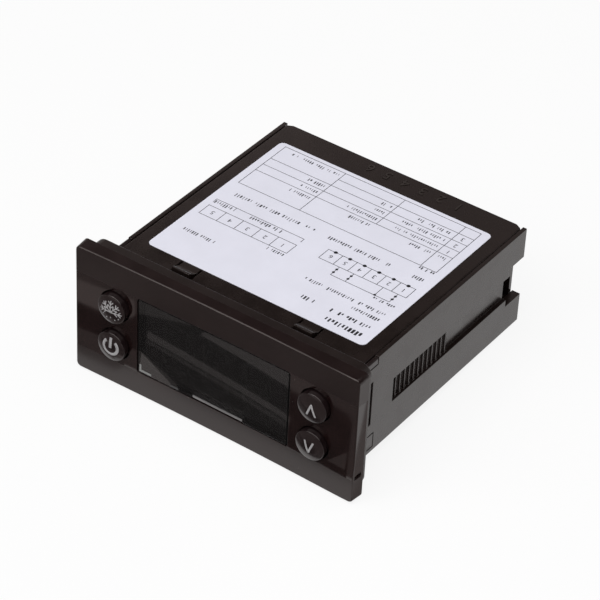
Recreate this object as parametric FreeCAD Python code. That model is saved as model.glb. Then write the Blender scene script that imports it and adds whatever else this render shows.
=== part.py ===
import FreeCAD, Part
import math
import os

# A panel-mounted temperature controller, in millimetres.
# X runs to the right as seen from the front, Y from the front to the rear, Z up.
# The origin is the centre of the panel opening, in the plane of the panel's front face.

Vec = FreeCAD.Vector

# Fits between pieces
fit_gap = 0.15                # moulded pieces that slip together
seam_gap = 0.25               # seams that show as a fine dark line
running_gap = 0.3             # round a piece that travels
part_clearance = 1.0          # between the tallest component and the cover

# Body behind the panel
body_width = 70.5
body_height = 27.4
body_depth = 68.2
body_edge = 0.6               # rounding of the two long bottom edges
side_wall = 1.1
floor_wall = 1.4
cover_wall = 1.3

# Bezel in front of the panel
bezel_overlap_side = 4.55     # how far it stands out past the body
bezel_overlap_top = 4.1
bezel_depth = 3.6             # at its two ends
bezel_hollow = 0.6            # how far the middle of the front is set back
bezel_draft = 0.25
bezel_corner = 1.3
bezel_edge = 0.25
front_skin = 1.6              # front wall, at its middle
pry_notch_length = 2.4
pry_notch_height = 1.3
pry_notch_depth = 0.3
pry_notch_rise = 7.4          # above the bezel's lower edge
pry_notch_set_back = 0.45     # behind the bezel's front

# Gasket between the bezel and the panel
gasket_depth = 3.5
gasket_inset_side = 1.5       # set in from the bezel's outline
gasket_inset_top = 0.75
gasket_corner = 2.6
gasket_edge = 0.5

# Window and buttons, both centred on one level
controls_z = -0.25
window_x = -0.4
window_margin_top = 3.0       # inside the body's height
window_margin_side = 2.5      # from the button holes
window_corner = 0.8
window_recess = 0.1
window_lip = 0.9              # ledge along its top and bottom, behind the front wall
window_lip_depth = 0.8
light_bar_x = 1.2
light_bar_width = 14.0
light_bar_height = 0.6
light_bar_lift = 0.5          # above the window's lower edge
button_diameter = 7.8
button_pitch = 10.85
button_dome = 0.7
button_proud = 1.5            # rim of the cap above the front
button_bar_catch = 0.25       # past the hole, at each end of the retaining bar
button_bar_depth = 0.7
button_bar_height = 4.0
button_rest_gap = 0.1
button_end_gap = 0.55         # between the retaining bar and the bezel's pocket
button_stem_diameter = 3.0
button_travel = 0.5

# Display and its board
display_gap = 0.25            # behind the window
display_margin_side = 1.5     # inside the window
display_margin_top = 1.4
display_depth = 6.6
digit_pitch = 11.4
digit_width = 6.4
digit_height = 12.6
segment_width = 1.3
segment_depth = 0.12
digit_count = 3
board_thickness = 1.6
post_size = 2.4
switch_size = 6.0
switch_height = 3.5
plunger_diameter = 3.4
plunger_reach = 1.0           # in front of its switch
plunger_seat = 0.5            # inside its switch

# Snap arms of the bezel
hook_thickness = 0.8
hook_slot_y = 3.0             # slot in the side wall, behind the panel
hook_slot_width = 2.2
hook_slot_height = 12.4
hook_slot_z = 1.4
hook_set_back = 0.5           # tip of the hook below the wall's outside
hook_tail = 0.8
corner_arm_reach = 6.6
upper_arm_height = 1.8
upper_arm_edge = 0.35
lower_arm_height = 3.7
lower_arm_rise = 1.8          # above the underside

# Clamp rail on each side, with its ratchet rack
rail_low = -3.5
rail_high = 3.1
rail_depth = 1.1
rack_front = 13.8
rack_pitch = 1.85
rack_teeth = 12
rack_land = 0.3
rack_root = 0.4               # below the rail's floor
rack_set_back = 0.5           # tips of the teeth below the wall's outside
rear_notch_height = 10.9
rear_notch_depth = 6.6

# Top cover, its two panel snaps and its label
cover_edge = 0.4
cover_corner_width = 1.6
cover_corner_length = 0.9
cover_ledge_width = 0.8
cover_ledge_height = 1.2
snap_x = 17.1
snap_width = 5.0
snap_slot = 0.5
snap_front = 3.0
snap_length = 4.6
snap_rise = 1.2
snap_ramp = 2.2
snap_land = 0.5
label_width = 61.0
label_length = 53.0
label_front = 7.7
label_corner = 1.4
label_thickness = 0.1

# Rear panel and its two plug sockets
rear_recess = 10.2            # from the rear of the body to the panel
rear_wall = 1.6
rear_flange_wall = 1.2
rear_flange_inset = 0.4
flange_lip_width = 2.6        # inward return at the flange's end
flange_lip_wall = 1.1
flange_window_length = 3.6
flange_window_low = -6.5
flange_window_high = -0.6
socket_wall = 1.0
socket_inset = 2.2            # mouths inside the rear of the body
socket_depth = 10.0
socket_body = 9.0             # in front of the rear panel
socket_margin = 1.7
socket_spacing = 2.06
pin_setback = 5.0             # tips inside the mouth
pin_leg_gap = 1.2             # legs in front of the socket body
pin_tail = 1.5
mains_ways = 6
mains_pitch = 5.08
mains_pin = 1.0
mains_height = 10.5
sensor_ways = 6
sensor_pitch = 2.5
sensor_pin = 0.64
sensor_height = 8.0

# Main board and what stands on it
main_board_margin = 1.65
main_board_setback = 2.4      # behind the display board
standoff_size = 5.0
standoff_inset = 1.0
link_ways = 8
link_pitch = 2.54
link_pin = 0.64
link_margin = 22.5            # from the board's left edge to the middle of the link
link_setback = 0.8
relay_spacing = 14.5          # to the left of the mains column
relay_width = 12.7
relay_length = 28.5
relay_height = 15.3
relay_edge = 0.5
relay_gap = 4.0               # in front of the socket pins
transformer_spacing = 13.7    # to the left of the capacitor cans
transformer_gap = 7.3         # in front of the socket pins
transformer_core_width = 16.0
transformer_core_length = 6.0
transformer_length = 15.0
transformer_height = 12.5
transformer_coil_width = 12.0
coil_set_down = 0.4           # top of the coil below the core's
mains_column_margin = 8.0     # fuse, film capacitor and varistor, from the board's right edge
film_cap_gap = 2.5            # in front of the varistor
film_cap_width = 6.0
film_cap_length = 13.0
film_cap_height = 11.5
can_spacing = 11.8            # to the left of the relay
bulk_cap_gap = 3.5            # in front of the socket pins
bulk_cap_diameter = 8.0
bulk_cap_height = 12.0
output_cap_gap = 4.0          # in front of the bulk capacitor
output_cap_diameter = 6.3
output_cap_height = 11.0
fuse_gap = 2.5                # in front of the film capacitor
fuse_diameter = 8.4
fuse_height = 7.7
varistor_gap = 4.0            # in front of the mains socket
varistor_diameter = 9.0
varistor_thickness = 4.0
varistor_lift = 1.0
buzzer_margin = 8.5           # from the board's left edge
buzzer_setback = 7.0          # from the board's front edge
buzzer_diameter = 9.0
buzzer_height = 5.5
buzzer_port_diameter = 1.6
buzzer_port_depth = 1.0
chip_margin = 20.5            # from the board's left edge
chip_setback = 7.8            # from the board's front edge
chip_size = 7.0
chip_height = 1.4
chip_leads = 8                # on each side
chip_lead_pitch = 0.8
chip_lead_width = 0.35
chip_lead_reach = 1.0
chip_lead_thickness = 0.2

# Planes and outlines that follow from these
body_x = body_width / 2
body_top = body_height / 2
body_bottom = -body_top
inner_x = body_x - side_wall
floor_z = body_bottom + floor_wall
cover_under = body_top - cover_wall
cover_x = inner_x - fit_gap
rail_floor_x = body_x - rail_depth
rail_inner_x = rail_floor_x - side_wall
bezel_width = body_width + 2 * bezel_overlap_side
bezel_height = body_height + 2 * bezel_overlap_top
bezel_back = -gasket_depth
bezel_ends = bezel_back - bezel_depth
bezel_middle = bezel_ends + bezel_hollow
pocket_y = bezel_middle + front_skin
pocket_x = inner_x - fit_gap - hook_thickness
pocket_z = -floor_z - seam_gap
front_half_width = bezel_width / 2 - bezel_draft
front_radius = (front_half_width ** 2 + bezel_hollow ** 2) / (2 * bezel_hollow)
button_hole_radius = button_diameter / 2 + running_gap
button_bar_reach = button_hole_radius + button_bar_catch
button_x = pocket_x - button_end_gap - button_bar_reach
button_levels = (controls_z + button_pitch / 2, controls_z - button_pitch / 2)
window_width = 2 * (button_x - button_hole_radius - window_margin_side)
window_height = body_height - 2 * window_margin_top
window_foot = controls_z - window_height / 2
light_bar_low = window_foot + light_bar_lift
display_width = window_width - 2 * display_margin_side
display_height = window_height - 2 * display_margin_top
button_bar_front = pocket_y + button_rest_gap
button_bar_back = button_bar_front + button_bar_depth
display_front = pocket_y + window_lip_depth + display_gap
display_board_front = display_front + display_depth
display_board_back = display_board_front + board_thickness
switch_front = display_board_front - switch_height
plunger_front = switch_front - plunger_reach
board_top = cover_under - part_clearance - relay_height
board_bottom = board_top - board_thickness
board_x = inner_x - main_board_margin
board_front = display_board_back + main_board_setback
rear_panel_y = body_depth - rear_recess
rear_panel_x = rail_inner_x - fit_gap
board_back = rear_panel_y - fit_gap
socket_mouth = body_depth - socket_inset
socket_front = rear_panel_y - socket_body
sensor_half = sensor_ways * sensor_pitch / 2 + socket_wall
mains_half = mains_ways * mains_pitch / 2 + socket_wall
sensor_x = -(rear_panel_x - rear_flange_wall - socket_margin - sensor_half)
mains_x = sensor_x + sensor_half + socket_spacing + mains_half
pin_leg = socket_front - pin_leg_gap
pin_tip = socket_mouth - pin_setback
link_x = link_margin - board_x
buzzer_x = buzzer_margin - board_x
buzzer_y = board_front + buzzer_setback
chip_x = chip_margin - board_x
chip_y = board_front + chip_setback
mains_column_x = board_x - mains_column_margin
relay_x = mains_column_x - relay_spacing
can_x = relay_x - can_spacing
transformer_x = can_x - transformer_spacing
relay_y = pin_leg - relay_gap - relay_length / 2
transformer_y = pin_leg - transformer_gap - transformer_length / 2
bulk_cap_y = pin_leg - bulk_cap_gap - bulk_cap_diameter / 2
output_cap_y = bulk_cap_y - bulk_cap_diameter / 2 - output_cap_gap - output_cap_diameter / 2
varistor_y = socket_front - varistor_gap - varistor_thickness / 2
film_cap_y = varistor_y - varistor_thickness / 2 - film_cap_gap - film_cap_length / 2
fuse_y = film_cap_y - film_cap_length / 2 - fuse_gap - fuse_diameter / 2


def box(x0, x1, y0, y1, z0, z1):
    """Block between two corners."""
    return Part.makeBox(x1 - x0, y1 - y0, z1 - z0, Vec(x0, y0, z0))


def cylinder_y(x, z, radius, y0, y1):
    """Round bar along Y."""
    return Part.makeCylinder(radius, y1 - y0, Vec(x, y0, z), Vec(0, 1, 0))


def cylinder_z(x, y, radius, z0, z1):
    """Round bar along Z."""
    return Part.makeCylinder(radius, z1 - z0, Vec(x, y, z0), Vec(0, 0, 1))


def plate_xz(width, height, radius, y0, y1, x=0.0, z=0.0):
    """Plate across Y with four rounded corners."""
    plate = box(x - width / 2, x + width / 2, y0, y1, z - height / 2, z + height / 2)
    corners = [e for e in plate.Edges if e.BoundBox.YLength > (y1 - y0) / 2]
    return plate.makeFillet(radius, corners)


def prism_z(points, z0, z1):
    """Outline in plan, given as x, y pairs, raised from z0 to z1."""
    wire = Part.makePolygon([Vec(x, y, z0) for x, y in points + points[:1]])
    return Part.Face(wire).extrude(Vec(0, 0, z1 - z0))


def prism_x(points, x0, x1):
    """Outline seen from the side, given as y, z pairs, drawn out from x0 to x1."""
    wire = Part.makePolygon([Vec(x0, y, z) for y, z in points + points[:1]])
    return Part.Face(wire).extrude(Vec(x1 - x0, 0, 0))


def both_sides(shape):
    """A right-hand feature and its mirror image on the left."""
    return [shape, shape.mirror(Vec(0, 0, 0), Vec(1, 0, 0))]


def save(name, solids):
    """Write one piece, or a group of like pieces, under its name."""
    solids = solids if isinstance(solids, list) else [solids]
    shape = solids[0] if len(solids) == 1 else Part.makeCompound(solids)
    shape.exportStep("parts/" + name + ".step")


# Bezel and what sits in it

def front_at(x):
    """Y of the hollow front at a distance x from the middle."""
    return bezel_middle - front_radius + math.sqrt(front_radius ** 2 - x ** 2)


def bezel_blank():
    """Drafted block with rounded corners and a front hollowed across its width."""
    half_height = bezel_height / 2
    rear_left = Vec(-bezel_width / 2, bezel_back, -half_height)
    rear_right = Vec(bezel_width / 2, bezel_back, -half_height)
    front_left = Vec(-front_half_width, bezel_ends, -half_height)
    front_right = Vec(front_half_width, bezel_ends, -half_height)
    front_middle = Vec(0, bezel_middle, -half_height)
    edges = [
        Part.LineSegment(rear_left, front_left).toShape(),
        Part.Arc(front_left, front_middle, front_right).toShape(),
        Part.LineSegment(front_right, rear_right).toShape(),
        Part.LineSegment(rear_right, rear_left).toShape(),
    ]
    plan = Part.Face(Part.Wire(edges)).extrude(Vec(0, 0, bezel_height))
    front_half_height = half_height - bezel_draft
    side = prism_x(
        [
            (bezel_back, -half_height),
            (bezel_ends, -front_half_height),
            (bezel_ends, front_half_height),
            (bezel_back, half_height),
        ],
        -bezel_width / 2,
        bezel_width / 2,
    )
    blank = plan.common(side).Solids[0]
    corners = [e for e in blank.Edges if e.BoundBox.YLength > bezel_depth / 2]
    blank = blank.makeFillet(bezel_corner, corners)
    rim = [e for e in blank.Edges if e.BoundBox.YMax < bezel_middle + bezel_edge]
    return blank.makeChamfer(bezel_edge, rim)


def bezel_arms():
    """Corner arms and hooks that reach back into the body's side walls."""
    upper = box(inner_x, body_x, bezel_back, corner_arm_reach, body_top - upper_arm_height, body_top)
    long_edges = [e for e in upper.Edges if e.BoundBox.YLength > corner_arm_reach]
    top_edges = [e for e in long_edges if e.BoundBox.ZMin > body_top - upper_arm_height / 2]
    upper = upper.makeChamfer(upper_arm_edge, top_edges)
    lower_z = body_bottom + lower_arm_rise
    lower = box(inner_x, body_x, bezel_back, corner_arm_reach, lower_z, lower_z + lower_arm_height)
    outer = pocket_x + hook_thickness
    nose_front = hook_slot_y + seam_gap
    nose_back = hook_slot_y + hook_slot_width - seam_gap
    half = hook_slot_height / 2 - seam_gap
    hook = prism_z(
        [
            (pocket_x, bezel_back),
            (outer, bezel_back),
            (outer, nose_front),
            (body_x - hook_set_back, nose_front),
            (outer, nose_back),
            (outer, nose_back + hook_tail),
            (pocket_x, nose_back + hook_tail),
        ],
        hook_slot_z - half,
        hook_slot_z + half,
    )
    arms = []
    for arm in (upper, lower, hook):
        arms += both_sides(arm)
    return arms


def front_bezel(blank):
    """Glossy front with its window, button holes, board posts and snap arms."""
    shape = blank.cut(box(-pocket_x, pocket_x, pocket_y, bezel_back, -pocket_z, pocket_z))
    opening = (window_width, window_height, window_corner)
    shape = shape.cut(plate_xz(*opening, bezel_ends, pocket_y, window_x, controls_z))
    for x in (-button_x, button_x):
        for z in button_levels:
            shape = shape.cut(cylinder_y(x, z, button_hole_radius, bezel_ends, pocket_y))
    for z in (-pocket_z, pocket_z - post_size):
        post = box(pocket_x - post_size, pocket_x, pocket_y, display_board_front, z, z + post_size)
        for side in both_sides(post):
            shape = shape.fuse(side)
    for arm in bezel_arms():
        shape = shape.fuse(arm)
    notch_z = -bezel_height / 2 + pry_notch_rise
    notch_x = bezel_width / 2 - bezel_draft - pry_notch_depth
    notch_y = bezel_ends + pry_notch_set_back
    notch = box(
        notch_x,
        bezel_width / 2,
        notch_y,
        notch_y + pry_notch_length,
        notch_z - pry_notch_height / 2,
        notch_z + pry_notch_height / 2,
    )
    return shape.cut(notch).removeSplitter()


def light_bar():
    """Bar along the foot of the window, from its front to the display."""
    half = light_bar_width / 2
    front = bezel_middle + window_recess
    top = light_bar_low + light_bar_height
    return box(light_bar_x - half, light_bar_x + half, front, display_front, light_bar_low, top)


def light_bar_slot(low):
    """Room for the light bar in the window, down to a given level."""
    half = light_bar_width / 2 + fit_gap
    top = light_bar_low + light_bar_height + fit_gap
    return box(light_bar_x - half, light_bar_x + half, bezel_ends, display_front, low, top)


def display_window(blank):
    """Smoked window flush with the front, held by a lip along its top and bottom."""
    width = window_width - 2 * seam_gap
    height = window_height - 2 * seam_gap
    pane = plate_xz(width, height, window_corner, bezel_ends, pocket_y, window_x, controls_z)
    pane = pane.common(blank.translated(Vec(0, window_recess, 0))).cut(light_bar_slot(window_foot))
    lip_half = window_height / 2 + window_lip
    lip = box(
        window_x - width / 2,
        window_x + width / 2,
        pocket_y,
        pocket_y + window_lip_depth,
        controls_z - lip_half,
        controls_z + lip_half,
    )
    return pane.fuse(lip.cut(light_bar_slot(light_bar_low - fit_gap))).removeSplitter()


def button(x, z):
    """Domed cap with a retaining bar and a stem that meets its switch."""
    radius = button_diameter / 2
    apex = front_at(button_x) - button_proud - button_dome
    ball_radius = (radius ** 2 + button_dome ** 2) / (2 * button_dome)
    ball = Part.makeSphere(ball_radius, Vec(x, apex + ball_radius, z))
    cap = cylinder_y(x, z, radius, apex, button_bar_front).common(ball)
    half = button_bar_height / 2
    bar = box(
        x - button_bar_reach,
        x + button_bar_reach,
        button_bar_front,
        button_bar_back,
        z - half,
        z + half,
    )
    stem = cylinder_y(x, z, button_stem_diameter / 2, button_bar_back, plunger_front)
    return cap.fuse([bar, stem]).removeSplitter()


def switch_plunger(x, z):
    """Round plunger between a button's stem and its switch."""
    return cylinder_y(x, z, plunger_diameter / 2, plunger_front, switch_front + plunger_seat)


def switch_case(x, z):
    """Square key switch, open in front for its plunger."""
    half = switch_size / 2
    case = box(x - half, x + half, switch_front, display_board_front, z - half, z + half)
    well = switch_front + plunger_seat + button_travel + running_gap
    return case.cut(cylinder_y(x, z, plunger_diameter / 2 + running_gap, switch_front, well))


def display_block():
    """Case of the digit display, behind the window."""
    size = (display_width, display_height, window_corner)
    return plate_xz(*size, display_front, display_board_front, window_x, controls_z)


def bar_segment(x, z, length, upright):
    """One pointed bar of a digit."""
    half = length / 2
    point = segment_width / 2
    outline = [
        (-half, 0),
        (-half + point, point),
        (half - point, point),
        (half, 0),
        (half - point, -point),
        (-half + point, -point),
    ]
    if upright:
        outline = [(-b, a) for a, b in outline]
    wire = Part.makePolygon([Vec(x + a, display_front, z + b) for a, b in outline + outline[:1]])
    return Part.Face(wire).extrude(Vec(0, -segment_depth, 0))


def digit_segments():
    """Seven bars for each digit, on the face of the display."""
    across = digit_width - 2 * seam_gap
    half_height = digit_height / 2
    bars = []
    for index in range(digit_count):
        x = window_x + (index - (digit_count - 1) / 2) * digit_pitch
        for level in (-1, 0, 1):
            bars.append(bar_segment(x, controls_z + level * half_height, across, False))
        for side in (-1, 1):
            for level in (-1, 1):
                z = controls_z + level * half_height / 2
                bars.append(bar_segment(x + side * digit_width / 2, z, half_height - 2 * seam_gap, True))
    return bars


def panel_gasket():
    """Soft frame between the bezel and the panel, round the body."""
    ring = plate_xz(
        bezel_width - 2 * gasket_inset_side,
        bezel_height - 2 * gasket_inset_top,
        gasket_corner,
        bezel_back,
        0,
    )
    outer_rear = [e for e in ring.Edges if e.BoundBox.YMin > -gasket_depth / 2]
    ring = ring.makeChamfer(gasket_edge, outer_rear)
    gap = seam_gap
    return ring.cut(box(-body_x - gap, body_x + gap, bezel_back, 0, body_bottom - gap, body_top + gap))


# Body

def ratchet_rack():
    """Saw teeth at the front of a clamp rail, steep towards the panel."""
    first = rack_front + rack_pitch - rack_land
    last = first + rack_teeth * rack_pitch
    tip_x = body_x - rack_set_back
    outline = [(rail_floor_x - rack_root, first)]
    for tooth in range(rack_teeth):
        steep = first + tooth * rack_pitch
        outline += [(rail_floor_x, steep), (tip_x, steep), (tip_x, steep + rack_land)]
    outline += [(rail_floor_x, last), (rail_floor_x - rack_root, last)]
    return prism_z(outline, rail_low, rail_high)


def housing():
    """Open tub with a ratchet rail, front slots and a notched rear post in each side wall."""
    tub = box(-body_x, body_x, bezel_back, body_depth, body_bottom, body_top)
    low_edges = [e for e in tub.Edges if e.BoundBox.YLength > body_depth and e.BoundBox.ZMax < 0]
    tub = tub.makeFillet(body_edge, low_edges)
    tub = tub.cut(box(-inner_x, inner_x, bezel_back, body_depth, floor_z, body_top))
    rail_start = rack_front - side_wall
    rail = box(rail_inner_x, inner_x, rail_start, body_depth, rail_low - side_wall, rail_high + side_wall)
    channel = box(rail_floor_x, body_x, rack_front, body_depth, rail_low, rail_high)
    ledge = box(
        inner_x - cover_ledge_width,
        inner_x,
        board_front,
        rear_panel_y - fit_gap,
        cover_under - cover_ledge_height,
        cover_under,
    )
    notch = box(
        rail_inner_x,
        body_x,
        body_depth - rear_notch_depth,
        body_depth,
        -rear_notch_height / 2,
        rear_notch_height / 2,
    )
    rear_post = box(
        rail_inner_x,
        inner_x,
        body_depth - rear_notch_depth,
        body_depth,
        floor_z,
        cover_under - fit_gap,
    )
    slot_half = hook_slot_height / 2
    slot = box(
        inner_x,
        body_x,
        hook_slot_y,
        hook_slot_y + hook_slot_width,
        hook_slot_z - slot_half,
        hook_slot_z + slot_half,
    )
    arm_end = corner_arm_reach + seam_gap
    upper_low = body_top - upper_arm_height - seam_gap
    upper_seat = box(inner_x, body_x, bezel_back, arm_end, upper_low, body_top)
    lower_low = body_bottom + lower_arm_rise - seam_gap
    lower_high = lower_low + lower_arm_height + 2 * seam_gap
    lower_seat = box(inner_x, body_x, bezel_back, arm_end, lower_low, lower_high)
    for added in (rail, ledge, rear_post):
        for side in both_sides(added):
            tub = tub.fuse(side)
    for removed in (channel, notch, slot, upper_seat, lower_seat):
        for side in both_sides(removed):
            tub = tub.cut(side)
    for side in both_sides(ratchet_rack()):
        tub = tub.fuse(side)
    foot_x = board_x - standoff_inset
    for y in (board_front + standoff_inset, board_back - standoff_inset - standoff_size):
        standoff = box(foot_x - standoff_size, foot_x, y, y + standoff_size, floor_z, board_bottom)
        for side in both_sides(standoff):
            tub = tub.fuse(side)
    return tub.removeSplitter()


def top_cover():
    """Lid between the side walls, with two springy panel snaps near the front."""
    lid = box(-cover_x, cover_x, bezel_back + fit_gap, body_depth, cover_under, body_top)
    cut_x = cover_x - cover_corner_width
    cut_y = body_depth - cover_corner_length
    corner = [(cut_x, body_depth), (cover_x, body_depth), (cover_x, cut_y)]
    for cut in both_sides(prism_z(corner, cover_under, body_top)):
        lid = lid.cut(cut)
    upper = [e for e in lid.Edges if e.BoundBox.ZMin > body_top - cover_wall / 2]
    lid = lid.makeFillet(cover_edge, [e for e in upper if e.BoundBox.YLength > body_depth / 2])
    half = snap_width / 2
    back = snap_front + snap_length
    for x in (-snap_x, snap_x):
        outer = half + snap_slot
        ring = box(x - outer, x + outer, snap_front - snap_slot, back, cover_under, body_top)
        tongue = box(x - half, x + half, snap_front, back, cover_under, body_top)
        lid = lid.cut(ring.cut(tongue))
        nose = prism_x(
            [
                (snap_front, body_top),
                (snap_front, body_top + snap_rise),
                (snap_front + snap_land, body_top + snap_rise),
                (snap_front + snap_land + snap_ramp, body_top),
            ],
            x - half,
            x + half,
        )
        lid = lid.fuse(nose)
    return lid.removeSplitter()


def rating_label():
    """Plain label on the cover."""
    half = label_width / 2
    sheet = box(-half, half, label_front, label_front + label_length, body_top, body_top + label_thickness)
    corners = [e for e in sheet.Edges if e.BoundBox.ZLength > label_thickness / 2]
    return sheet.makeFillet(label_corner, corners)


# Rear panel and sockets

def rear_panel():
    """Wall behind the main board, with windowed and lipped side flanges and two socket openings."""
    top = cover_under - fit_gap
    wall = box(-rear_panel_x, rear_panel_x, rear_panel_y, rear_panel_y + rear_wall, floor_z, top)
    flange_x = rear_panel_x - rear_flange_wall
    flange_end = body_depth - rear_flange_inset
    flange = box(flange_x, rear_panel_x, rear_panel_y, flange_end, floor_z, top)
    lip_front = flange_end - flange_lip_wall
    lip = box(rear_panel_x - flange_lip_width, rear_panel_x, lip_front, flange_end, floor_z, top)
    window = box(
        flange_x,
        rear_panel_x,
        lip_front - flange_window_length,
        lip_front,
        flange_window_low,
        flange_window_high,
    )
    for side in both_sides(flange.fuse(lip).cut(window)):
        wall = wall.fuse(side)
    for x, half, height in ((mains_x, mains_half, mains_height), (sensor_x, sensor_half, sensor_height)):
        wall = wall.cut(
            box(
                x - half - fit_gap,
                x + half + fit_gap,
                rear_panel_y,
                rear_panel_y + rear_wall,
                board_top - fit_gap,
                board_top + height + fit_gap,
            )
        )
    return wall.removeSplitter()


def socket(x, half, height, pins):
    """Plug socket on the main board, open to the rear, round its pins."""
    top = board_top + height
    body = box(x - half, x + half, socket_front, socket_mouth, board_top, top)
    wall = socket_wall
    hollow_y = socket_mouth - socket_depth
    hollow = box(x - half + wall, x + half - wall, hollow_y, socket_mouth, board_top + wall, top - wall)
    body = body.cut(hollow)
    for pin in pins:
        body = body.cut(pin)
    return body


def bent_pins(x, ways, pitch, size, leg_y, tip_y, level):
    """Row of pins, each from its tip to a leg down through the main board."""
    half = size / 2
    foot = board_bottom - pin_tail
    low_y = min(leg_y - half, tip_y)
    high_y = max(leg_y + half, tip_y)
    pins = []
    for index in range(ways):
        pin_x = x + (index - (ways - 1) / 2) * pitch
        arm = box(pin_x - half, pin_x + half, low_y, high_y, level - half, level + half)
        leg = box(pin_x - half, pin_x + half, leg_y - half, leg_y + half, foot, level + half)
        pins.append(arm.fuse(leg).removeSplitter())
    return pins


# Boards and components

def pierced(board, pins):
    """Board with a hole for each pin."""
    for pin in pins:
        board = board.cut(pin)
    return board


def can(x, y, diameter, height):
    """Round can on the main board."""
    return cylinder_z(x, y, diameter / 2, board_top, board_top + height)


def component_block(x, y, width, length, height, edge):
    """Moulded block on the main board with rounded upper edges."""
    block = box(x - width / 2, x + width / 2, y - length / 2, y + length / 2, board_top, board_top + height)
    upper = [e for e in block.Edges if e.BoundBox.ZMin > board_top + height / 2]
    return block.makeFillet(edge, upper)


def transformer():
    """Ferrite core round a wound coil."""
    half_core = transformer_core_width / 2
    half_coil = transformer_coil_width / 2
    y = transformer_y
    core = box(
        transformer_x - half_core,
        transformer_x + half_core,
        y - transformer_core_length / 2,
        y + transformer_core_length / 2,
        board_top,
        board_top + transformer_height,
    )
    coil = box(
        transformer_x - half_coil,
        transformer_x + half_coil,
        y - transformer_length / 2,
        y + transformer_length / 2,
        board_top,
        board_top + transformer_height - coil_set_down,
    )
    return core.cut(coil), coil


def varistor():
    """Disc that stands on the main board on a short foot."""
    radius = varistor_diameter / 2
    half = varistor_thickness / 2
    centre_z = board_top + varistor_lift + radius
    disc = cylinder_y(mains_column_x, centre_z, radius, varistor_y - half, varistor_y + half)
    foot = box(
        mains_column_x - radius / 2,
        mains_column_x + radius / 2,
        varistor_y - half / 2,
        varistor_y + half / 2,
        board_top,
        centre_z,
    )
    return disc.fuse(foot).removeSplitter()


def buzzer():
    """Round sounder with a port in its top."""
    top = board_top + buzzer_height
    case = can(buzzer_x, buzzer_y, buzzer_diameter, buzzer_height)
    port = cylinder_z(buzzer_x, buzzer_y, buzzer_port_diameter / 2, top - buzzer_port_depth, top)
    return case.cut(port)


def control_chip():
    """Flat chip with a row of leads on two sides."""
    half = chip_size / 2
    package = box(
        chip_x - half,
        chip_x + half,
        chip_y - half,
        chip_y + half,
        board_top,
        board_top + chip_height,
    )
    for side in (-1, 1):
        inner = chip_x + side * half
        outer = chip_x + side * (half + chip_lead_reach)
        for index in range(chip_leads):
            y = chip_y + (index - (chip_leads - 1) / 2) * chip_lead_pitch
            lead = box(
                min(inner, outer),
                max(inner, outer),
                y - chip_lead_width / 2,
                y + chip_lead_width / 2,
                board_top,
                board_top + chip_lead_thickness,
            )
            package = package.fuse(lead)
    return package


os.makedirs("parts", exist_ok=True)

# Front pieces
blank = bezel_blank()
save("front_bezel", front_bezel(blank))
save("display_window", display_window(blank))
save("light_bar", light_bar())
save("panel_gasket", panel_gasket())

# Buttons, each with the plunger that moves with it
button_places = {
    "defrost": (-button_x, button_levels[0]),
    "power": (-button_x, button_levels[1]),
    "up": (button_x, button_levels[0]),
    "down": (button_x, button_levels[1]),
}
for name, (x, z) in button_places.items():
    save(name + "_button", button(x, z))
    save(name + "_plunger", switch_plunger(x, z))
save("key_switches", [switch_case(x, z) for x, z in button_places.values()])

# Body pieces
save("housing", housing())
save("top_cover", top_cover())
save("rating_label", rating_label())
save("rear_panel", rear_panel())

# Sockets and pins
mains_level = board_top + mains_height / 2
sensor_level = board_top + sensor_height / 2
mains_pins = bent_pins(mains_x, mains_ways, mains_pitch, mains_pin, pin_leg, pin_tip, mains_level)
sensor_pins = bent_pins(sensor_x, sensor_ways, sensor_pitch, sensor_pin, pin_leg, pin_tip, sensor_level)
save("mains_socket", socket(mains_x, mains_half, mains_height, mains_pins))
save("mains_pins", mains_pins)
save("sensor_socket", socket(sensor_x, sensor_half, sensor_height, sensor_pins))
save("sensor_pins", sensor_pins)

# Link between the two boards
link_front = board_front + link_setback
link_y = link_front + link_pitch / 2
link_level = board_top + link_pitch / 2
link_pins = bent_pins(link_x, link_ways, link_pitch, link_pin, link_y, display_board_front, link_level)
link_half = link_ways * link_pitch / 2
link_strip = box(
    link_x - link_half,
    link_x + link_half,
    link_front,
    link_front + link_pitch,
    board_top,
    board_top + link_pitch,
)
save("link_strip", pierced(link_strip, link_pins))
save("link_pins", link_pins)

# Boards
board_half_z = -floor_z - 2 * seam_gap
board_half_x = pocket_x - seam_gap
display_board = box(
    -board_half_x,
    board_half_x,
    display_board_front,
    display_board_back,
    -board_half_z,
    board_half_z,
)
save("display_board", pierced(display_board, link_pins))
main_board = box(-board_x, board_x, board_front, board_back, board_bottom, board_top)
save("main_board", pierced(main_board, mains_pins + sensor_pins + link_pins))

# Display
save("display_block", display_block())
save("digit_segments", digit_segments())

# Components on the main board
save("relay", component_block(relay_x, relay_y, relay_width, relay_length, relay_height, relay_edge))
core, coil = transformer()
save("transformer_core", core)
save("transformer_coil", coil)
film_size = (film_cap_width, film_cap_length, film_cap_height)
save("film_capacitor", component_block(mains_column_x, film_cap_y, *film_size, relay_edge))
save("bulk_capacitor", can(can_x, bulk_cap_y, bulk_cap_diameter, bulk_cap_height))
save("output_capacitor", can(can_x, output_cap_y, output_cap_diameter, output_cap_height))
save("fuse", can(mains_column_x, fuse_y, fuse_diameter, fuse_height))
save("varistor", varistor())
save("buzzer", buzzer())
save("control_chip", control_chip())
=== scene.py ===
import math
from functools import partialmethod

import bmesh
import bpy
from bpy.props import FloatProperty, FloatVectorProperty, PointerProperty
from mathutils import Matrix, Vector


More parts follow.
